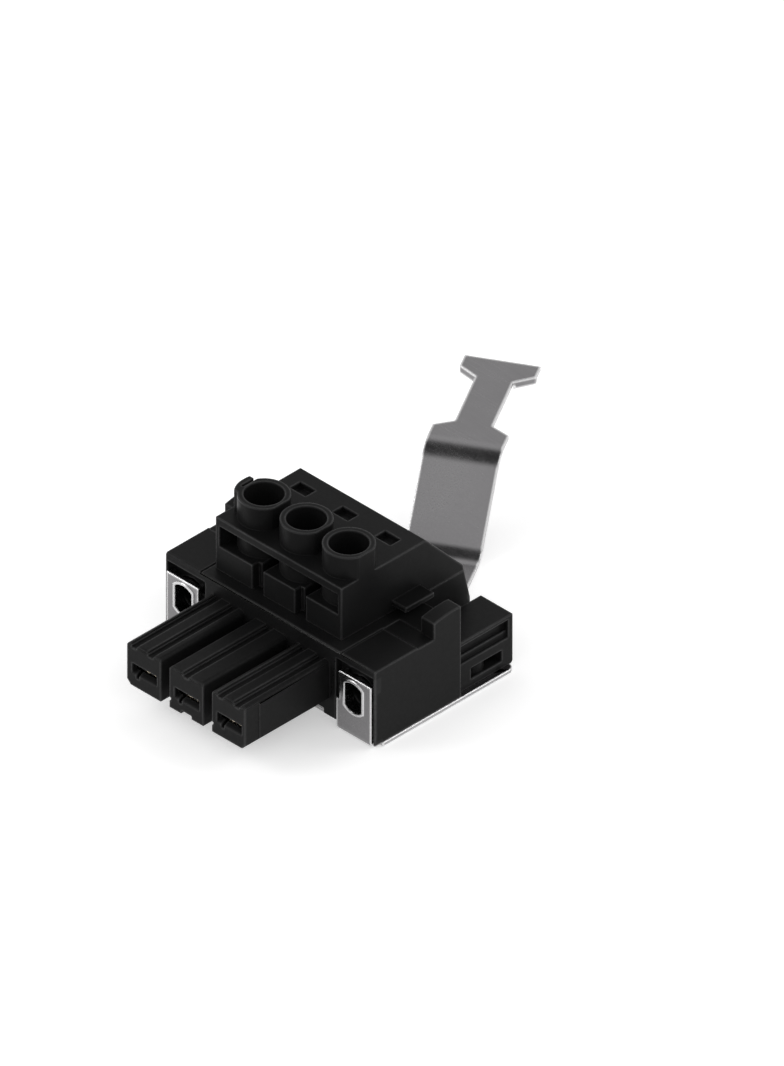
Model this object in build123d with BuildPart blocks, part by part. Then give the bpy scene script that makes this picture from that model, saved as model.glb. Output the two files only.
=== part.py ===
from build123d import *
import math
import os

# Plug connector with three screw clamps, two flanges and a folded shield plate.
# Millimetres. X runs along the row of poles, +Y from the sockets to the wire entries, +Z up.
# The origin is on the shield plate's underside, midway along it, under the middle pole.

# Row of poles
pole_count = 3
pitch = 7.62
pole_x = [pitch * (n - (pole_count - 1) / 2) for n in range(pole_count)]
axis_depth = 6.5

# Depths are counted back from the front lip of the housing
plate_depth = 25.0
lip_y = -plate_depth / 2


def depth(distance):
    """Y of a plane this far behind the front lip."""
    return lip_y + distance


# Cuts start this far outside the material
clear = 1.0

# Shield sheet
sheet = 0.6
floor_z = sheet

# Housing heights
base_height = 11.45
block_height = 8.05
tube_height = 3.4
base_top = floor_z + base_height
block_top = base_top + block_height
tube_top = block_top + tube_height

# Housing outline
flange_reach = 11.18
flange_depth = 15.45
base_half = pole_x[-1] + flange_reach
wall_left = 4.18
wall_right = 3.18
block_left = pole_x[0] - wall_left
block_right = pole_x[-1] + wall_right
block_width = block_right - block_left
block_front = 1.97
block_top_rear = 17.16
rear_knee_depth = 23.8
rear_knee_z = base_top + 0.95
rear_depth = 25.1
rear_foot_z = floor_z + 6.7
lip_break = 0.25

# Socket fingers
finger_width = 6.1
finger_reach = 15.1
finger_low = 3.4
finger_high = 9.9
finger_mid = (finger_low + finger_high) / 2
finger_edge = 0.65
finger_nose = 0.45
finger_root = 0.4
groove_width = 1.3
groove_floor = 0.78
groove_depth = 0.6
finger_grooves = ((-1.8, 1.18), (-0.09,), (-1.55, 1.43))

# Blade slot with a lead-in under it and a notch
blade_z = 6.33
slot_width = 4.4
slot_height = 1.2
slot_shift = 0.1
slot_skin = 0.9
lead_run = 0.6
lead_drop = 0.35
slot_notch = 0.5
slot_notch_shift = -1.1
slot_notch_drop = 1.43

# Coding marks on the fingers
coding_chamfer = 0.7
coding_groove = 1.8
coding_depth = 0.5
coding_notch_rise = 1.3
coding_step = 2.5
coding_set_back = 0.125

# Contact, a folded copper strip with a forked socket
contact_width = 4.3
bar_width = 3.9
strip = 0.9
strip_bend = 0.6
arm_sheet = 0.6
arm_spread = 0.75
arm_pinch = 0.28
arm_flare = 0.85
arm_neck = 4.0
arm_nose = 1.8
nose_sheet = 0.54
tip_sheet = 0.48
tip_gap = 0.6
fork_slit = 0.5
fork_slit_start = 3.0
step_depth = 2.9
cavity_gap = 0.15
bar_z = 9.9
bar_end_depth = 9.4
bar_top = bar_z + strip
fork_tip = finger_reach - slot_skin - tip_gap

# Steel spring sleeve round the fork
sleeve_sheet = 0.22
sleeve_length = 5.8
sleeve_set_back = 0.4
sleeve_corner = 0.4
sleeve_gap = 0.06
sleeve_lift = 0.05
sleeve_half = contact_width / 2 + sleeve_gap
sleeve_rise = arm_spread + arm_sheet + sleeve_lift
sleeve_front = fork_tip - sleeve_set_back
cavity_half = sleeve_half + sleeve_sheet + 0.07
cavity_rise = sleeve_rise + sleeve_sheet + 0.1

# Wire way and screw clamp
wire_z = 7.5
wire_r = 2.05
funnel_r = 3.0
funnel_length = 4.0
yoke_depth = 5.2
yoke_side = 0.45
yoke_wall = 1.1
yoke_corner = 0.5
yoke_gap = 0.2
yoke_play = 0.1
yoke_end_play = 0.5
clamp_travel = 2.8
screw_r = 1.5
screw_gap = 0.06
screw_seat_gap = 0.02
head_r = 2.25
head_height = 2.1
head_edge = 0.2
head_gap = 0.1
drive_width = 0.9
drive_depth = 1.1

yoke_inner_half = wire_r + yoke_play / 2
yoke_outer_half = yoke_inner_half + yoke_side
yoke_window_low = wire_z - wire_r - yoke_gap
yoke_low = yoke_window_low - yoke_wall
yoke_window_high = bar_top + 0.3
yoke_high = yoke_window_high + yoke_wall
chamber_half_x = yoke_outer_half + yoke_play
chamber_half_y = yoke_depth / 2 + yoke_end_play
chamber_low = yoke_low - yoke_gap
chamber_high = yoke_high + clamp_travel + yoke_play
head_low = chamber_high + yoke_gap
head_high = head_low + head_height
pocket_high = head_high + yoke_gap

# Screwdriver tubes
tube_r = 3.45
tube_bore_r = 2.63
tube_flat = wall_right

# Hook wall round the left of the first tube, with a slit between the two
hook_r = 4.0
hook_shift_x = -0.2
hook_shift_y = 0.4
hook_inner = 2.7
hook_front = -2.1
hook_rear = 1.5
hook_slit_low = 3.0
hook_slit_high = 3.35
hook_slit_front = -0.8
hook_slit_drop = 1.5

# Front window and panels of the clamp block
sill_z = base_top + 3.75
window_top_z = block_top - 1.2
window_wall = 0.68
window_depth = 4.6
panel_slot = 1.95
panel_slot_shift = 0.4
panel_slot_depth = 1.15
panel_core = 1.3
panel_core_depth = 4.2

# Ledges on the ends of the clamp block
ledge_reach = 2.5
ledge_front = 11.05
ledge_rear = 16.1
ledge_top = base_top + 1.75
ledge_sheet = 0.75

# Test pockets behind the tubes
test_width = 2.73
test_length = 1.82
test_depth_y = 14.1
test_shift = -0.63
test_pocket = 0.87

# Flange details
seam_inset = 1.8
seam_width = 0.22
seam_end = 0.4
field_front = 7.72
field_drop = 0.15
foot_rise = 0.65
recess_mid = 15.12
recess_width = 6.75
recess_top = base_top - 1.3
latch_width = 2.34
latch_front = 10.6
latch_rise = 2.25
latch_slope = 0.4

# Boxes behind the flanges
box_side_gap = 0.75
box_width = 5.75
box_depth = 10.05
box_height = 7.6
box_foot = 0.5
box_groove_low = 4.9
box_groove_high = 7.6
box_groove_ledge = 0.9
box_groove_in = 0.9
box_groove_end = 0.85
box_window_low = 1.75
box_window_high = 3.42
box_window_in = 2.2
box_window_mid = 5.3
box_window_length = 5.5
box_lug_mid = 4.6
box_lug_r = 1.7

# Shield plate
plate_half = base_half + 0.15
plate_front = 1.3
plate_corner = 1.0
fold_root = 2.0
flap_half = 9.4
flap_height = 1.05
flap_bend = 0.05
flap_room = 1.4
tab_x = 15.5
tab_width = 5.7
tab_proud = 0.3
tab_front = -tab_proud
tab_height = 9.5
tab_bend = 0.5
tab_wide = 0.5
tab_wide_height = 5.2
hole_x = 15.25
hole_r = 2.25
hole_flat = 1.52
hole_z = 6.5
rim = 0.35
rim_proud = 0.15
collar = 0.9
ear_drop = 0.9
ear_return = 0.7

# Shield arm, swung to one side and bent up
arm_width = 10.0
arm_angle = 30.0
arm_pivot_depth = 27.15
arm_root = -6.0
arm_low_bend = 10.5
arm_rise = 9.8
arm_slope = 45.0
arm_bend_r = 4.5
tongue_end = 39.9
head_side = 2.43
head_length = 4.2
neck_width = 4.95
neck_end = 14.25
shoulder_end = 15.75
lip_drop = 1.1

os.makedirs("parts", exist_ok=True)


def save(builder, name):
    """Label the finished piece and write it to its own file."""
    builder.part.label = name
    export_step(builder.part, "parts/" + name + ".step")


def cross_plane(at_depth):
    """A plane across the connector whose sketches extrude towards the front."""
    return Plane.XZ.offset(-depth(at_depth))


def rear_at(z):
    """Depth of the steep rear face at a height."""
    share = (rear_knee_z - z) / (rear_knee_z - rear_foot_z)
    return rear_knee_depth + (rear_depth - rear_knee_depth) * min(max(share, 0), 1)


# Housing base: flanges, wire ways, clamp chambers and socket fingers in one moulding
with BuildPart() as housing_base:
    with BuildSketch(Plane.XY.offset(floor_z)):
        with Locations((0, depth(flange_depth / 2))):
            Rectangle(2 * base_half, flange_depth)
    extrude(amount=base_height)

    # Front lip, broken along its upper edge
    lip_edges = housing_base.edges().filter_by(Axis.X).group_by(Axis.Z)[-1].sort_by(Axis.Y)
    chamfer(lip_edges[0], lip_break)

    # Wire side behind the flanges
    with BuildSketch(Plane.YZ.offset(block_left)):
        with BuildLine():
            Polyline(
                (depth(flange_depth - clear), floor_z),
                (depth(rear_depth), floor_z),
                (depth(rear_depth), rear_foot_z),
                (depth(rear_at(base_top)), base_top),
                (depth(flange_depth - clear), base_top),
                close=True,
            )
        make_face()
    extrude(amount=block_width)

    for side in (-1, 1):
        # Lowered field on top of the flange, in front of the latch block
        seam_x = block_right + seam_inset
        with BuildSketch(Plane.XY.offset(base_top)):
            with Locations((side * (seam_x + base_half + clear) / 2, depth((field_front + latch_front) / 2))):
                Rectangle(base_half + clear - seam_x, latch_front - field_front)
        extrude(amount=-field_drop, mode=Mode.SUBTRACT)

        # Latch block that stands on the flange's outer edge
        latch_x = side * (base_half - latch_width / 2)
        latch_top = base_top + latch_rise
        latch_foot = base_top - clear
        with BuildSketch(Plane.YZ.offset(latch_x - latch_width / 2)):
            with BuildLine():
                Line((depth(flange_depth), latch_foot), (depth(latch_front), latch_foot))
                Line((depth(latch_front), latch_foot), (depth(latch_front), latch_top))
                ThreePointArc(
                    (depth(latch_front), latch_top),
                    (depth((latch_front + flange_depth) / 2), latch_top + latch_slope),
                    (depth(flange_depth), latch_top + latch_slope),
                )
                Line((depth(flange_depth), latch_top + latch_slope), (depth(flange_depth), latch_foot))
            make_face()
        extrude(amount=latch_width)

        # Box behind the flange, with its foot rounded at the back
        box_x = side * (base_half - box_side_gap - box_width / 2)
        with BuildSketch(Plane.YZ.offset(box_x - box_width / 2)) as box_profile:
            with Locations((depth(flange_depth + (box_depth - clear) / 2), floor_z + box_height / 2)):
                Rectangle(box_depth + clear, box_height)
            fillet(box_profile.vertices().group_by(Axis.X)[-1].sort_by(Axis.Y)[0], box_foot)
        extrude(amount=box_width)

    # Socket fingers, rounded along their upper edges
    for x in pole_x:
        with BuildSketch(cross_plane(finger_root)) as finger_outline:
            with Locations((x, finger_mid)):
                Rectangle(finger_width, finger_high - finger_low)
            fillet(finger_outline.vertices().group_by(Axis.Y)[-1], finger_edge)
        extrude(amount=finger_reach + finger_root)

    # Upper front edge of the fingers, rounded
    nose_front = depth(-finger_reach)
    nose_mid = finger_nose * (1 - math.sqrt(0.5))
    with BuildSketch(Plane.YZ.offset(pole_x[0] - finger_width)):
        with BuildLine():
            Line((nose_front + finger_nose, finger_high), (nose_front, finger_high))
            Line((nose_front, finger_high), (nose_front, finger_high - finger_nose))
            ThreePointArc(
                (nose_front, finger_high - finger_nose),
                (nose_front + nose_mid, finger_high - nose_mid),
                (nose_front + finger_nose, finger_high),
            )
        make_face()
    extrude(amount=pole_x[-1] - pole_x[0] + 2 * finger_width, mode=Mode.SUBTRACT)

    # Key grooves along the fingers, each with a narrower floor
    for n, x in enumerate(pole_x):
        for shift in finger_grooves[n % len(finger_grooves)]:
            for width, cut in ((groove_width, groove_depth / 2), (groove_floor, groove_depth)):
                with BuildSketch(cross_plane(0)):
                    with Locations((x + shift, finger_high)):
                        Rectangle(width, 2 * cut)
                extrude(amount=finger_reach + clear, mode=Mode.SUBTRACT)

    # Coding marks of the moulding: outer chamfers, a belly groove, notches and a set-back side
    for side, x in ((-1, pole_x[0]), (1, pole_x[-1])):
        corner_x = x + side * finger_width / 2
        with BuildSketch(cross_plane(0)):
            with BuildLine():
                Polyline(
                    (corner_x + side * clear, finger_low - clear),
                    (corner_x - side * coding_chamfer, finger_low - clear),
                    (corner_x - side * coding_chamfer, finger_low),
                    (corner_x, finger_low + coding_chamfer),
                    (corner_x + side * clear, finger_low + coding_chamfer),
                    close=True,
                )
            make_face()
        extrude(amount=finger_reach + clear, mode=Mode.SUBTRACT)
    with BuildSketch(cross_plane(0)):
        with Locations((pole_x[1], finger_low)):
            Rectangle(coding_groove, 2 * coding_depth)
        for x in pole_x[1:]:
            with Locations((x - finger_width / 2, finger_low + coding_notch_rise)):
                Rectangle(coding_depth, coding_depth)
    extrude(amount=finger_reach + clear, mode=Mode.SUBTRACT)
    with BuildSketch(cross_plane(coding_step - finger_reach)):
        with Locations((pole_x[-1] + finger_width / 2, finger_mid)):
            Rectangle(2 * coding_set_back, finger_high - finger_low)
    extrude(amount=coding_step + clear, mode=Mode.SUBTRACT)

    for x in pole_x:
        # Socket cavity from the clamp chamber to the finger's front skin
        with BuildSketch(cross_plane(step_depth - cavity_gap)):
            with Locations((x, blade_z)):
                Rectangle(2 * cavity_half, 2 * cavity_rise)
        extrude(amount=finger_reach - slot_skin + step_depth - cavity_gap, mode=Mode.SUBTRACT)

        # Blade slot with a notch under it
        slot_x = x + slot_shift
        with BuildSketch(cross_plane(-finger_reach)):
            with Locations((slot_x, blade_z)):
                Rectangle(slot_width, slot_height)
            with Locations((x + slot_notch_shift, blade_z - slot_notch_drop / 2)):
                Rectangle(slot_notch, slot_notch_drop)
        extrude(amount=-(slot_skin + cavity_gap), mode=Mode.SUBTRACT)

        # Lead-in that slopes up from the finger's face to the slot
        with BuildSketch(Plane.YZ.offset(slot_x - slot_width / 2)):
            with BuildLine():
                Polyline(
                    (depth(-finger_reach), blade_z),
                    (depth(-finger_reach), blade_z - slot_height / 2 - lead_drop),
                    (depth(lead_run - finger_reach), blade_z - slot_height / 2),
                    (depth(lead_run - finger_reach), blade_z),
                    close=True,
                )
            make_face()
        extrude(amount=slot_width, mode=Mode.SUBTRACT)

        # Clamp chamber and the narrower well for the contact's step
        with BuildSketch(Plane.XY.offset(chamber_low)):
            with Locations((x, depth(axis_depth))):
                Rectangle(2 * chamber_half_x, 2 * chamber_half_y)
        extrude(amount=base_top - chamber_low, mode=Mode.SUBTRACT)
        with BuildSketch(Plane.XY.offset(blade_z - cavity_rise)):
            with Locations((x, depth((step_depth - cavity_gap + axis_depth) / 2))):
                Rectangle(contact_width + 2 * cavity_gap, axis_depth - step_depth + cavity_gap)
        extrude(amount=base_top - blade_z + cavity_rise, mode=Mode.SUBTRACT)

        # Wire way with a funnel mouth
        with BuildSketch(cross_plane(rear_depth + clear)):
            with Locations((x, wire_z)):
                Circle(wire_r)
        extrude(amount=rear_depth + clear - axis_depth, mode=Mode.SUBTRACT)
        with BuildSketch(Plane.YZ.offset(x)):
            with BuildLine():
                Polyline(
                    (depth(rear_depth - funnel_length), wire_z),
                    (depth(rear_depth - funnel_length), wire_z + wire_r),
                    (depth(rear_depth), wire_z + funnel_r),
                    (depth(rear_depth + clear), wire_z + funnel_r),
                    (depth(rear_depth + clear), wire_z),
                    close=True,
                )
            make_face()
        revolve(axis=Axis((x, 0, wire_z), (0, 1, 0)), mode=Mode.SUBTRACT)

    # Step under the front for the plate's turned-up edge, with a foot at each end
    with BuildSketch(Plane.XY.offset(floor_z)):
        with Locations((0, depth(plate_front / 2))):
            Rectangle(2 * recess_mid + recess_width, plate_front + 2 * cavity_gap)
    extrude(amount=foot_rise, mode=Mode.SUBTRACT)
    with BuildSketch(Plane.XY.offset(floor_z)):
        with Locations((0, depth((plate_front + sheet) / 2))):
            Rectangle(2 * (flap_half + cavity_gap), plate_front + sheet + 2 * cavity_gap)
    extrude(amount=flap_room, mode=Mode.SUBTRACT)

    for side in (-1, 1):
        # Shallow bed for the shield tab, deeper where its ears reach in
        with BuildSketch(cross_plane(0)):
            with Locations((side * recess_mid, recess_top / 2)):
                Rectangle(recess_width, recess_top)
        extrude(amount=-(sheet - tab_proud + cavity_gap), mode=Mode.SUBTRACT)
        with BuildSketch(cross_plane(0)):
            with Locations((side * recess_mid, (recess_top + tab_height - ear_drop) / 2)):
                Rectangle(recess_width, recess_top - tab_height + ear_drop + 2 * cavity_gap)
        extrude(amount=-(sheet - tab_proud + ear_return + cavity_gap), mode=Mode.SUBTRACT)

        # Round well behind the tab's hole
        with BuildSketch(cross_plane(0)):
            with Locations((side * hole_x, hole_z)):
                Circle(hole_r + rim + cavity_gap)
        extrude(amount=-(collar + sheet + cavity_gap), mode=Mode.SUBTRACT)
        with BuildSketch(cross_plane(0)):
            with Locations((side * hole_x, hole_z)):
                Circle(hole_r)
        extrude(amount=-axis_depth, mode=Mode.SUBTRACT)

        # Parting seams on top of the flange
        seam_run = base_half - seam_x - seam_end
        with BuildSketch(Plane.XY.offset(base_top)):
            with Locations((side * seam_x, depth(field_front / 2))):
                Rectangle(seam_width, field_front)
            with Locations((side * (base_half + seam_x - seam_end) / 2, depth(field_front))):
                Rectangle(seam_run, seam_width)
        extrude(amount=-seam_width, mode=Mode.SUBTRACT)

        # Long groove with an inner ledge, and a window with a round lug
        box_outer = side * (base_half - box_side_gap)
        groove_length = box_depth - box_groove_end
        ledge_low = box_groove_low + box_groove_ledge
        for low, inward in ((ledge_low, box_groove_in), (box_groove_low, box_groove_in / 2)):
            with BuildSketch(Plane.YZ.offset(box_outer)):
                with Locations((depth(flange_depth + groove_length / 2), (low + box_groove_high) / 2)):
                    Rectangle(groove_length, box_groove_high - low)
            extrude(amount=-side * inward, mode=Mode.SUBTRACT)
        window_mid = (box_window_low + box_window_high) / 2
        with BuildSketch(Plane.YZ.offset(box_outer)):
            with Locations((depth(flange_depth + box_window_mid), window_mid)):
                Rectangle(box_window_length, box_window_high - box_window_low)
        extrude(amount=-side * box_window_in, mode=Mode.SUBTRACT)
        with BuildSketch(Plane.XY.offset(box_window_low)):
            with Locations((box_outer - side * box_window_in, depth(flange_depth + box_lug_mid))):
                Circle(box_lug_r)
        extrude(amount=box_window_high - box_window_low)

save(housing_base, "housing_base")

# Clamp cover: the upper block with the screwdriver tubes
with BuildPart() as clamp_cover:
    with BuildSketch(Plane.YZ.offset(block_left)):
        with BuildLine():
            Polyline(
                (depth(block_front), base_top),
                (depth(block_front), block_top),
                (depth(block_top_rear), block_top),
                (depth(rear_knee_depth), rear_knee_z),
                (depth(rear_at(base_top)), base_top),
                close=True,
            )
        make_face()
    extrude(amount=block_width)

    # Front window, through which the tubes show
    with BuildSketch(cross_plane(block_front)):
        with Locations(((block_left + block_right) / 2, (sill_z + window_top_z) / 2)):
            Rectangle(block_width - 2 * window_wall, window_top_z - sill_z)
    extrude(amount=-window_depth, mode=Mode.SUBTRACT)

    # Latching ledges on both ends of the block
    for x in (block_left - ledge_reach, block_right):
        with BuildSketch(Plane.XY.offset(ledge_top - ledge_sheet)):
            with Locations((x + ledge_reach / 2, depth((ledge_front + ledge_rear) / 2))):
                Rectangle(ledge_reach, ledge_rear - ledge_front)
        extrude(amount=ledge_sheet)

    # Slots that part the front panels, each with a narrower and deeper core
    for x in pole_x[:-1]:
        slot_x = x + pitch / 2 - panel_slot_shift
        core_x = slot_x + (panel_slot - panel_core) / 2
        for mid_x, width, cut in ((slot_x, panel_slot, panel_slot_depth), (core_x, panel_core, panel_core_depth)):
            with BuildSketch(cross_plane(block_front)):
                with Locations((mid_x, (base_top + sill_z) / 2)):
                    Rectangle(width, sill_z - base_top)
            extrude(amount=-cut, mode=Mode.SUBTRACT)

    # Screwdriver tubes, cut flat on the right in line with the block's end
    for x in pole_x:
        with BuildSketch(Plane.XY.offset(sill_z)):
            with Locations((x, depth(axis_depth))):
                Circle(tube_r)
            with Locations((x + tube_flat + tube_r, depth(axis_depth))):
                Rectangle(2 * tube_r, 2 * tube_r, mode=Mode.SUBTRACT)
        extrude(amount=tube_top - sill_z)

    # Hook wall round the first tube, open to the rear along its slit
    hook_y = depth(axis_depth)
    with BuildSketch(Plane.XY.offset(block_top)):
        with Locations((pole_x[0] + hook_shift_x, hook_y + hook_shift_y)):
            Circle(hook_r)
        with Locations((pole_x[0] - (wall_left + hook_inner) / 2, hook_y + (hook_front + hook_rear) / 2)):
            Rectangle(wall_left - hook_inner, hook_rear - hook_front, mode=Mode.INTERSECT)
    extrude(amount=tube_height)
    slit_mid = (hook_slit_low + hook_slit_high) / 2
    with BuildSketch(Plane.XY.offset(tube_top)):
        with Locations((pole_x[0] - slit_mid, hook_y + (hook_slit_front + hook_rear + clear) / 2)):
            Rectangle(hook_slit_high - hook_slit_low, hook_rear + clear - hook_slit_front)
    extrude(amount=-hook_slit_drop, mode=Mode.SUBTRACT)

    for x in pole_x:
        # Tube bore, the screw head's guide under it, and the top of the clamp chamber
        with BuildSketch(Plane.XY.offset(pocket_high)):
            with Locations((x, depth(axis_depth))):
                Circle(tube_bore_r)
        extrude(amount=tube_top - pocket_high, mode=Mode.SUBTRACT)
        with BuildSketch(Plane.XY.offset(base_top)):
            with Locations((x, depth(axis_depth))):
                Circle(head_r + head_gap)
        extrude(amount=pocket_high - base_top, mode=Mode.SUBTRACT)
        with BuildSketch(Plane.XY.offset(base_top)):
            with Locations((x, depth(axis_depth))):
                Rectangle(2 * chamber_half_x, 2 * chamber_half_y)
        extrude(amount=chamber_high - base_top, mode=Mode.SUBTRACT)

        # Test pocket
        with BuildSketch(Plane.XY.offset(block_top)):
            with Locations((x + test_shift, depth(test_depth_y))):
                Rectangle(test_width, test_length)
        extrude(amount=-test_pocket, mode=Mode.SUBTRACT)

save(clamp_cover, "clamp_cover")

# Contacts, springs, yokes and screws, one of each for every pole
for n, x in enumerate(pole_x):
    number = str(n + 1)
    pole_y = depth(axis_depth)

    with BuildPart() as contact:
        with BuildSketch(Plane.YZ.offset(x - contact_width / 2)):
            with BuildLine():
                Polyline(
                    (depth(step_depth + strip), blade_z - arm_spread - arm_sheet),
                    (depth(step_depth), blade_z - arm_spread - arm_sheet),
                    (depth(step_depth), bar_top),
                    (depth(step_depth + strip), bar_top),
                    close=True,
                )
            make_face()
            for side in (-1, 1):
                with BuildLine():
                    Polyline(
                        (depth(step_depth + strip / 2), blade_z + side * arm_spread),
                        (depth(-arm_neck), blade_z + side * arm_spread),
                        (depth(arm_nose - fork_tip), blade_z + side * arm_pinch),
                        (depth(-fork_tip), blade_z + side * arm_flare),
                        (depth(-fork_tip), blade_z + side * (arm_flare + tip_sheet)),
                        (depth(arm_nose - fork_tip), blade_z + side * (arm_pinch + nose_sheet)),
                        (depth(-arm_neck), blade_z + side * (arm_spread + arm_sheet)),
                        (depth(step_depth + strip / 2), blade_z + side * (arm_spread + arm_sheet)),
                        close=True,
                    )
                make_face()
        extrude(amount=contact_width)
        with BuildSketch(Plane.XY.offset(blade_z - cavity_rise)):
            with Locations((x, depth(-(fork_slit_start + fork_tip + clear) / 2))):
                Rectangle(fork_slit, fork_tip + clear - fork_slit_start)
        extrude(amount=2 * cavity_rise, mode=Mode.SUBTRACT)
        with BuildSketch(Plane.XY.offset(bar_z)):
            with Locations((x, depth((step_depth + bar_end_depth) / 2))):
                Rectangle(bar_width, bar_end_depth - step_depth)
        extrude(amount=strip)
        top_bend = contact.edges().filter_by(Axis.X).group_by(Axis.Z)[-1].sort_by(Axis.Y)[0]
        fillet(top_bend, strip_bend)
    save(contact, "contact_" + number)

    with BuildPart() as contact_spring:
        with BuildSketch(cross_plane(sleeve_length - sleeve_front)):
            with Locations((x, blade_z)):
                RectangleRounded(2 * (sleeve_half + sleeve_sheet), 2 * (sleeve_rise + sleeve_sheet), sleeve_corner)
                Rectangle(2 * sleeve_half, 2 * sleeve_rise, mode=Mode.SUBTRACT)
        extrude(amount=sleeve_length)
    save(contact_spring, "contact_spring_" + number)

    with BuildPart() as clamp_yoke:
        with BuildSketch(cross_plane(axis_depth + yoke_depth / 2)):
            with Locations((x, (yoke_low + yoke_high) / 2)):
                RectangleRounded(2 * yoke_outer_half, yoke_high - yoke_low, yoke_corner)
            with Locations((x, (yoke_window_low + yoke_window_high) / 2)):
                Rectangle(2 * yoke_inner_half, yoke_window_high - yoke_window_low, mode=Mode.SUBTRACT)
        extrude(amount=yoke_depth)
        with BuildSketch(Plane.XY.offset(yoke_window_high)):
            with Locations((x, pole_y)):
                Circle(screw_r + screw_gap)
        extrude(amount=yoke_wall, mode=Mode.SUBTRACT)
    save(clamp_yoke, "clamp_yoke_" + number)

    with BuildPart() as clamp_screw:
        with BuildSketch(Plane.XY.offset(bar_top + screw_seat_gap)):
            with Locations((x, pole_y)):
                Circle(screw_r)
        extrude(amount=head_low + head_gap - bar_top - screw_seat_gap)
        with BuildSketch(Plane.XY.offset(head_low)):
            with Locations((x, pole_y)):
                Circle(head_r)
        extrude(amount=head_height)
        chamfer(clamp_screw.faces().sort_by(Axis.Z)[-1].edges(), head_edge)
        with BuildSketch(Plane.XY.offset(head_high)):
            with Locations((x, pole_y)):
                Rectangle(2 * head_r + clear, drive_width)
        extrude(amount=-drive_depth, mode=Mode.SUBTRACT)
    save(clamp_screw, "clamp_screw_" + number)

# Shield plate: one folded sheet with two front tabs and a swung, raised arm
swing = math.radians(arm_angle)
along = Vector(-math.sin(swing), math.cos(swing), 0)
across = Vector(math.cos(swing), math.sin(swing), 0)
pivot = Vector(0, depth(arm_pivot_depth), 0)
arm_side = Plane(origin=pivot - across * (arm_width / 2), x_dir=along, z_dir=across)
arm_plan = Plane(origin=pivot, x_dir=along, z_dir=(0, 0, 1))
high_bend = arm_low_bend + arm_rise / math.tan(math.radians(arm_slope))
half_arm = arm_width / 2
half_neck = neck_width / 2


def double_d(radius, flat):
    """A circle cut flat on its left and right."""
    Circle(radius)
    Rectangle(2 * flat, 2 * radius, mode=Mode.INTERSECT)


with BuildPart() as shield_plate:
    # Arm: a bent strip, trimmed to its outline in plan
    with BuildSketch(arm_side):
        with BuildLine():
            FilletPolyline(
                (arm_root, 0),
                (arm_low_bend, 0),
                (high_bend, arm_rise),
                (tongue_end, arm_rise),
                radius=arm_bend_r,
            )
            offset(amount=sheet, side=Side.LEFT)
        make_face()
    extrude(amount=arm_width)
    with BuildSketch(arm_plan):
        with BuildLine():
            Polyline(
                (arm_root, -half_arm),
                (tongue_end - shoulder_end, -half_arm),
                (tongue_end - neck_end, -half_neck),
                (tongue_end - head_length, -half_neck),
                (tongue_end - head_side, -half_arm),
                (tongue_end, -half_arm),
                (tongue_end, half_arm),
                (tongue_end - head_side, half_arm),
                (tongue_end - head_length, half_neck),
                (tongue_end - neck_end, half_neck),
                (tongue_end - shoulder_end, half_arm),
                (arm_root, half_arm),
                close=True,
            )
        make_face()
    extrude(amount=arm_rise + clear, both=True, mode=Mode.INTERSECT)

    # Lips turned down along the back of the T-shaped head
    for side in (-1, 1):
        with BuildSketch(arm_plan.offset(arm_rise + sheet - lip_drop)):
            with BuildLine():
                Polyline(
                    (tongue_end - head_side, side * half_arm),
                    (tongue_end - head_length, side * half_neck),
                    (tongue_end - head_length + sheet, side * half_neck),
                    (tongue_end - head_side + sheet, side * half_arm),
                    close=True,
                )
            make_face()
        extrude(amount=lip_drop)

    # Plate under the housing, rounded at its rear corners
    with BuildSketch() as plate_outline:
        with Locations((0, depth((plate_front + plate_depth) / 2))):
            Rectangle(2 * plate_half, plate_depth - plate_front)
        fillet(plate_outline.vertices().group_by(Axis.Y)[-1], plate_corner)
    extrude(amount=sheet)

    # Front edge, turned up between the tabs
    with BuildSketch(Plane.YZ.offset(-flap_half)):
        with BuildLine():
            FilletPolyline(
                (depth(plate_front + fold_root), 0),
                (depth(plate_front), 0),
                (depth(plate_front), flap_height),
                radius=sheet + flap_bend,
            )
            offset(amount=sheet, side=Side.RIGHT)
        make_face()
    extrude(amount=2 * flap_half)

    for side in (-1, 1):
        # Tab folded up in front of the flange, wider below than above
        tab_outer = side * (tab_x + tab_width / 2)
        with BuildSketch(Plane.YZ.offset(tab_outer)):
            with BuildLine():
                FilletPolyline(
                    (depth(plate_front + fold_root), 0),
                    (depth(tab_front), 0),
                    (depth(tab_front), tab_height),
                    radius=tab_bend + sheet,
                )
                offset(amount=sheet, side=Side.RIGHT)
            make_face()
        extrude(amount=-side * (tab_width + tab_wide))
        with BuildSketch(cross_plane(tab_front + sheet)):
            with Locations((tab_outer - side * (tab_width + tab_wide / 2), (tab_height + tab_wide_height) / 2)):
                Rectangle(tab_wide, tab_height - tab_wide_height)
        extrude(amount=sheet, mode=Mode.SUBTRACT)

        # Ears folded back at both ends of the tab's top
        for end in (-1, 1):
            ear_x = side * tab_x + end * (tab_width - sheet) / 2
            with BuildSketch(cross_plane(tab_front + sheet + ear_return)):
                with Locations((ear_x, tab_height - ear_drop / 2)):
                    Rectangle(sheet, ear_drop)
            extrude(amount=sheet / 2 + ear_return)

        # Rim and collar of the hole
        with BuildSketch(cross_plane(tab_front + collar + sheet)):
            with Locations((side * hole_x, hole_z)):
                double_d(hole_r + rim, hole_flat + rim)
        extrude(amount=collar + sheet + rim_proud)
        with BuildSketch(cross_plane(tab_front + collar + sheet)):
            with Locations((side * hole_x, hole_z)):
                double_d(hole_r, hole_flat)
        extrude(amount=collar + sheet + clear, mode=Mode.SUBTRACT)

save(shield_plate, "shield_plate")
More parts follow.
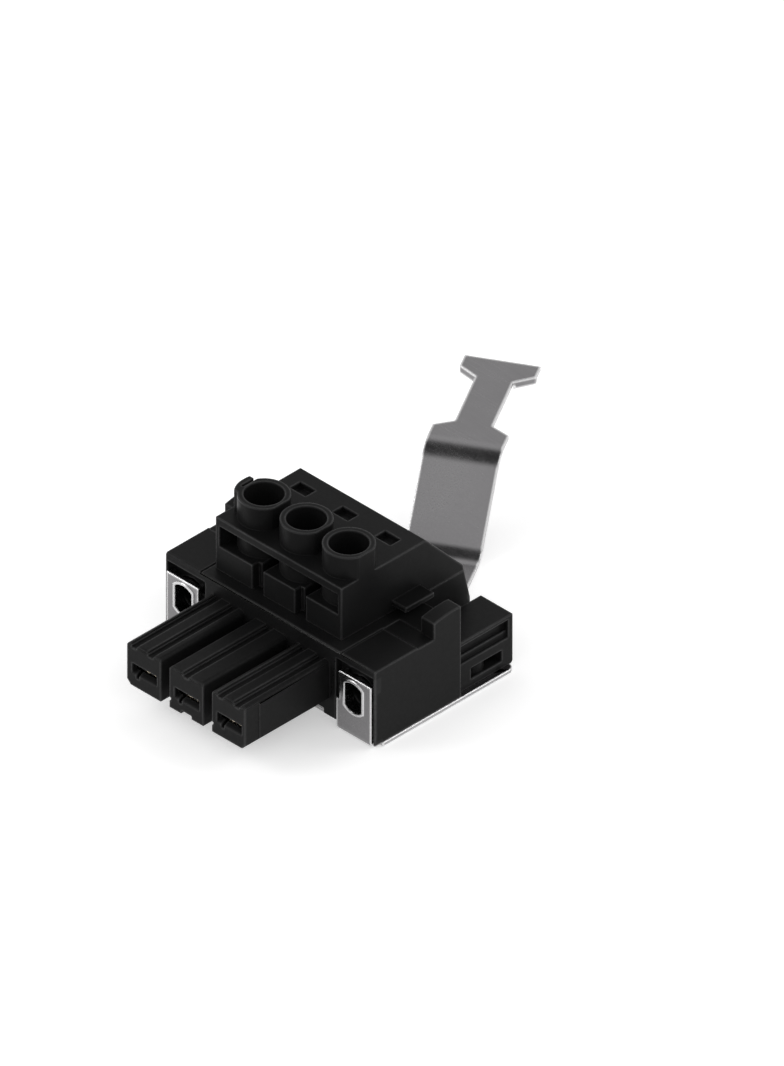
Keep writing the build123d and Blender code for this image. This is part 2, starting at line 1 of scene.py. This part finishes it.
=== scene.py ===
import bpy
import math
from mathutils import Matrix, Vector

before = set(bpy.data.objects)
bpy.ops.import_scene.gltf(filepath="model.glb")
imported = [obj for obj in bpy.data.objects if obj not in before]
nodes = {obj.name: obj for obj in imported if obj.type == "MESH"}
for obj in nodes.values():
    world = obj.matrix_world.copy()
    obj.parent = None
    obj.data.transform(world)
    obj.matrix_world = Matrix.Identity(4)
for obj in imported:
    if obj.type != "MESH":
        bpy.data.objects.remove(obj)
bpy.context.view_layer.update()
scene = bpy.context.scene

# Named values, in metres

plastic_rounding = 0.00014
plastic_edge_reach = 0.00032
metal_rounding = 0.00018
shield_rounding = 0.00030
metal_edge_reach = 0.00036
weld_distance = 2e-6
flat_angle = math.radians(1)
crease_angle = math.radians(32)
small_part_width = 0.00005
edge_widths = {"housing_base": 0.00008, "clamp_cover": 0.00007, "shield_plate": 0.00002}
floor_size = 4.0
floor_height = -0.00003
floor_white = 0.88
floor_glow = 0.42
lamp_size = 0.3
lamp_target = Vector((0.0, 0.01, 0.01))
picture_height = 0.13537
camera_target = Vector((-0.0135, 0.02285, 0.0))
camera_distance = 0.6


# Node helpers

def new_material(name):
    mat = bpy.data.materials.new(name)
    mat.use_nodes = True
    tree = mat.node_tree
    tree.nodes.clear()
    out = tree.nodes.new("ShaderNodeOutputMaterial")
    bsdf = tree.nodes.new("ShaderNodeBsdfPrincipled")
    tree.links.new(bsdf.outputs["BSDF"], out.inputs["Surface"])
    return mat, tree, bsdf


def noise(tree, vector, scale, detail=3.0, rough=0.55):
    node = tree.nodes.new("ShaderNodeTexNoise")
    node.inputs["Scale"].default_value = scale
    node.inputs["Detail"].default_value = detail
    node.inputs["Roughness"].default_value = rough
    tree.links.new(vector, node.inputs["Vector"])
    return node.outputs["Fac"]


def remap(tree, value, low, high, to_low, to_high):
    node = tree.nodes.new("ShaderNodeMapRange")
    node.clamp = True
    node.inputs["From Min"].default_value = low
    node.inputs["From Max"].default_value = high
    node.inputs["To Min"].default_value = to_low
    node.inputs["To Max"].default_value = to_high
    tree.links.new(value, node.inputs["Value"])
    return node.outputs["Result"]


def math_node(tree, operation, a, b):
    node = tree.nodes.new("ShaderNodeMath")
    node.operation = operation
    for socket, value in zip(node.inputs, (a, b)):
        if isinstance(value, (int, float)):
            socket.default_value = value
        else:
            tree.links.new(value, socket)
    return node.outputs["Value"]


def mix_colour(tree, factor, a, b):
    node = tree.nodes.new("ShaderNodeMix")
    node.data_type = "RGBA"
    tree.links.new(factor, node.inputs[0])
    for socket, value in zip((node.inputs[6], node.inputs[7]), (a, b)):
        if isinstance(value, tuple):
            socket.default_value = value + (1.0,)
        else:
            tree.links.new(value, socket)
    return node.outputs[2]


def bump(tree, height, strength, distance, base):
    node = tree.nodes.new("ShaderNodeBump")
    node.inputs["Strength"].default_value = strength
    node.inputs["Distance"].default_value = distance
    tree.links.new(height, node.inputs["Height"])
    tree.links.new(base, node.inputs["Normal"])
    return node.outputs["Normal"]


def object_vector(tree, stretch=(1.0, 1.0, 1.0), turn=0.0):
    coord = tree.nodes.new("ShaderNodeTexCoord")
    mapping = tree.nodes.new("ShaderNodeMapping")
    mapping.inputs["Scale"].default_value = stretch
    mapping.inputs["Rotation"].default_value = (0.0, 0.0, turn)
    tree.links.new(coord.outputs["Object"], mapping.inputs["Vector"])
    return mapping.outputs["Vector"]


def rounded_normal(tree, radius):
    """A normal that turns smoothly across edges."""
    bevel = tree.nodes.new("ShaderNodeBevel")
    bevel.samples = 5
    bevel.inputs["Radius"].default_value = radius
    return bevel.outputs["Normal"]


def edge_mask(tree, reach, full, none):
    """1 on outer edges, where little material lies behind the surface, and 0 on open faces."""
    behind = tree.nodes.new("ShaderNodeAmbientOcclusion")
    behind.inside = True
    behind.only_local = True
    behind.samples = 6
    behind.inputs["Distance"].default_value = reach
    return remap(tree, behind.outputs["AO"], full, none, 1.0, 0.0)


# Materials

def plastic(name, dark, light, painted_highlight_colour):
    """Fine matte moulded plastic, glossier along its outer edges, where a painted highlight also
    makes it paler.
    """
    mat, tree, bsdf = new_material(name)
    vector = object_vector(tree)
    cloud = noise(tree, vector, 140.0, 4.0)
    fleck = noise(tree, vector, 1900.0, 2.0)
    grain = noise(tree, vector, 5200.0, 2.0, 0.6)
    body = mix_colour(tree, remap(tree, cloud, 0.3, 0.7, 0.0, 1.0), dark, light)
    patchy = remap(tree, noise(tree, vector, 420.0, 4.0), 0.35, 0.65, 0.7, 1.0)
    # Painted highlight: outer edges are mixed toward the paler last colour
    edge = edge_mask(tree, plastic_edge_reach, 0.62, 0.93)
    painted_highlight_mask = math_node(tree, "MULTIPLY", edge, patchy)
    tree.links.new(mix_colour(tree, painted_highlight_mask, body, painted_highlight_colour), bsdf.inputs["Base Color"])
    broad = remap(tree, cloud, 0.3, 0.7, 0.38, 0.46)
    speckle = remap(tree, fleck, 0.4, 0.6, -0.04, 0.04)
    rough = math_node(tree, "ADD", broad, speckle)
    polish = math_node(tree, "MULTIPLY", painted_highlight_mask, 0.16)
    tree.links.new(math_node(tree, "SUBTRACT", rough, polish), bsdf.inputs["Roughness"])
    tree.links.new(remap(tree, painted_highlight_mask, 0.0, 1.0, 0.07, 0.26), bsdf.inputs["Specular IOR Level"])
    coarse = bump(tree, fleck, 0.12, 0.00003, rounded_normal(tree, plastic_rounding))
    tree.links.new(bump(tree, grain, 0.22, 0.00002, coarse), bsdf.inputs["Normal"])
    return mat


def sheet_metal(name, dark, light, painted_metal_highlight, roughness, stretch, turn=0.0, rounding=metal_rounding):
    """Plated or bare metal with a rolled streak and outer edges brightened by a painted highlight.
    """
    mat, tree, bsdf = new_material(name)
    vector = object_vector(tree)
    along = object_vector(tree, stretch, turn)
    cloud = noise(tree, vector, 90.0, 4.0)
    streak = noise(tree, along, 1.0, 4.0, 0.65)
    grain = noise(tree, vector, 4200.0, 3.0, 0.6)
    cloud_share = math_node(tree, "MULTIPLY", cloud, 0.6)
    streak_share = math_node(tree, "MULTIPLY", streak, 0.4)
    tone = math_node(tree, "ADD", cloud_share, streak_share)
    body = mix_colour(tree, remap(tree, tone, 0.38, 0.62, 0.0, 1.0), dark, light)
    # Painted highlight: outer edges are mixed toward the pale third colour
    painted_highlight_mask = edge_mask(tree, metal_edge_reach, 0.66, 0.95)
    tree.links.new(mix_colour(tree, painted_highlight_mask, body, painted_metal_highlight), bsdf.inputs["Base Color"])
    broad = remap(tree, tone, 0.38, 0.62, *roughness)
    speckle = remap(tree, grain, 0.35, 0.65, -0.03, 0.03)
    rough = math_node(tree, "ADD", broad, speckle)
    polish = math_node(tree, "MULTIPLY", painted_highlight_mask, 0.08)
    tree.links.new(math_node(tree, "SUBTRACT", rough, polish), bsdf.inputs["Roughness"])
    bsdf.inputs["Metallic"].default_value = 1.0
    fine = bump(tree, streak, 0.10, 0.00002, rounded_normal(tree, rounding))
    tree.links.new(bump(tree, grain, 0.16, 0.000015, fine), bsdf.inputs["Normal"])
    return mat


black_dark = (0.0070, 0.0070, 0.0071)
black_light = (0.0090, 0.0090, 0.0091)
# The last colour of each plastic is a painted highlight for its outer edges
housing_black = plastic("housing_black", black_dark, black_light, (0.036, 0.036, 0.0365))
cover_black = plastic("cover_black", black_dark, black_light, (0.030, 0.030, 0.0305))
# The third colour of each metal is a painted highlight for its outer edges
satin_nickel = sheet_metal(
    "satin_nickel", (0.215, 0.21, 0.215), (0.245, 0.24, 0.245), (0.78, 0.775, 0.78),
    (0.2, 0.27), (90.0, 2600.0, 2600.0), math.radians(-60), shield_rounding)
tinned_copper = sheet_metal(
    "tinned_copper", (0.60, 0.53, 0.42), (0.70, 0.63, 0.52), (0.78, 0.66, 0.5),
    (0.26, 0.38), (2600.0, 120.0, 2600.0))
spring_steel = sheet_metal(
    "spring_steel", (0.44, 0.44, 0.45), (0.55, 0.55, 0.56), (0.68, 0.68, 0.69),
    (0.22, 0.32), (120.0, 2600.0, 2600.0))
yoke_steel = sheet_metal(
    "yoke_steel", (0.48, 0.48, 0.49), (0.60, 0.60, 0.60), (0.7, 0.7, 0.7),
    (0.3, 0.42), (2600.0, 120.0, 2600.0))
screw_steel = sheet_metal(
    "screw_steel", (0.42, 0.42, 0.43), (0.54, 0.54, 0.54), (0.66, 0.66, 0.66),
    (0.28, 0.4), (1800.0, 1800.0, 300.0))

finishes = {"housing_base": housing_black, "clamp_cover": cover_black, "shield_plate": satin_nickel}
for n in (1, 2, 3):
    finishes["contact_%d" % n] = tinned_copper
    finishes["contact_spring_%d" % n] = spring_steel
    finishes["clamp_yoke_%d" % n] = yoke_steel
    finishes["clamp_screw_%d" % n] = screw_steel

# Softened edges on the carried-over solids

for name, obj in nodes.items():
    obj.data.materials.clear()
    obj.data.materials.append(finishes[name])
    weld = obj.modifiers.new("join", "WELD")
    weld.merge_threshold = weld_distance
    flat = obj.modifiers.new("flatten", "DECIMATE")
    flat.decimate_type = "DISSOLVE"
    flat.angle_limit = flat_angle
    # Wider edges threw spikes off the shield; sliding, without the flattening, off the finger ends
    soft = obj.modifiers.new("soften", "BEVEL")
    soft.width = edge_widths.get(name, small_part_width)
    soft.segments = 3
    soft.limit_method = "ANGLE"
    soft.angle_limit = crease_angle
    soft.loop_slide = False
    soft.use_clamp_overlap = False
    soft.miter_outer = "MITER_ARC"
    smooth = obj.modifiers.new("shade", "WEIGHTED_NORMAL")
    smooth.weight = 80
    smooth.keep_sharp = False

# Floor that keeps the shadow, with a glow that lights nothing but what sees or mirrors it

bpy.ops.mesh.primitive_plane_add(size=floor_size, location=(0, 0, floor_height))
floor = bpy.context.object
floor.name = "floor"
mat, tree, bsdf = new_material("floor_white")
tree.nodes.remove(bsdf)
out = tree.nodes["Material Output"]
diffuse = tree.nodes.new("ShaderNodeBsdfDiffuse")
diffuse.inputs["Color"].default_value = (floor_white, floor_white, floor_white, 1)
glow = tree.nodes.new("ShaderNodeEmission")
glow.inputs["Color"].default_value = (1, 1, 1, 1)
path = tree.nodes.new("ShaderNodeLightPath")
seen = math_node(tree, "MAXIMUM", path.outputs["Is Camera Ray"], path.outputs["Is Glossy Ray"])
seen = math_node(tree, "MAXIMUM", seen, path.outputs["Is Transmission Ray"])
tree.links.new(math_node(tree, "MULTIPLY", seen, floor_glow), glow.inputs["Strength"])
add = tree.nodes.new("ShaderNodeAddShader")
tree.links.new(diffuse.outputs[0], add.inputs[0])
tree.links.new(glow.outputs[0], add.inputs[1])
tree.links.new(add.outputs[0], out.inputs["Surface"])
floor.data.materials.append(mat)

# Studio surroundings, graded by height and dark overhead

world = bpy.data.worlds.new("studio")
scene.world = world
world.use_nodes = True
tree = world.node_tree
tree.nodes.clear()
out = tree.nodes.new("ShaderNodeOutputWorld")
back = tree.nodes.new("ShaderNodeBackground")
back.inputs["Color"].default_value = (1, 1, 1, 1)
coord = tree.nodes.new("ShaderNodeTexCoord")
split = tree.nodes.new("ShaderNodeSeparateXYZ")
tree.links.new(coord.outputs["Generated"], split.inputs[0])
ramp = tree.nodes.new("ShaderNodeValToRGB")
stops = ramp.color_ramp.elements
stops.remove(stops[1])
stops[0].color = (1, 1, 1, 1)
for place, level in ((0.5, 0.72), (0.7, 1.0), (0.84, 1.0), (0.93, 0.09)):
    stops.new(place).color = (level, level, level, 1)
tree.links.new(split.outputs["Z"], ramp.inputs["Fac"])
tree.links.new(ramp.outputs["Color"], back.inputs["Strength"])
tree.links.new(back.outputs[0], out.inputs["Surface"])

# Lamps and camera


def softbox(name, place, power):
    data = bpy.data.lights.new(name, "AREA")
    data.shape = "DISK"
    data.size = lamp_size
    data.energy = power
    lamp = bpy.data.objects.new(name, data)
    lamp.location = place
    aim = lamp_target - Vector(place)
    lamp.rotation_euler = aim.to_track_quat("-Z", "Y").to_euler()
    scene.collection.objects.link(lamp)


softbox("key", (-0.38, -0.42, 0.40), 0.8)
softbox("side", (0.42, 0.40, 0.42), 0.6)

camera_data = bpy.data.cameras.new("camera")
camera_data.type = "ORTHO"
camera_data.ortho_scale = picture_height
camera_data.clip_end = 20.0
camera = bpy.data.objects.new("camera", camera_data)
look = Vector((-1, 1, -1)).normalized()
camera.location = camera_target - look * camera_distance
camera.rotation_euler = look.to_track_quat("-Z", "Y").to_euler()
scene.collection.objects.link(camera)
scene.camera = camera

scene.view_settings.view_transform = "Standard"
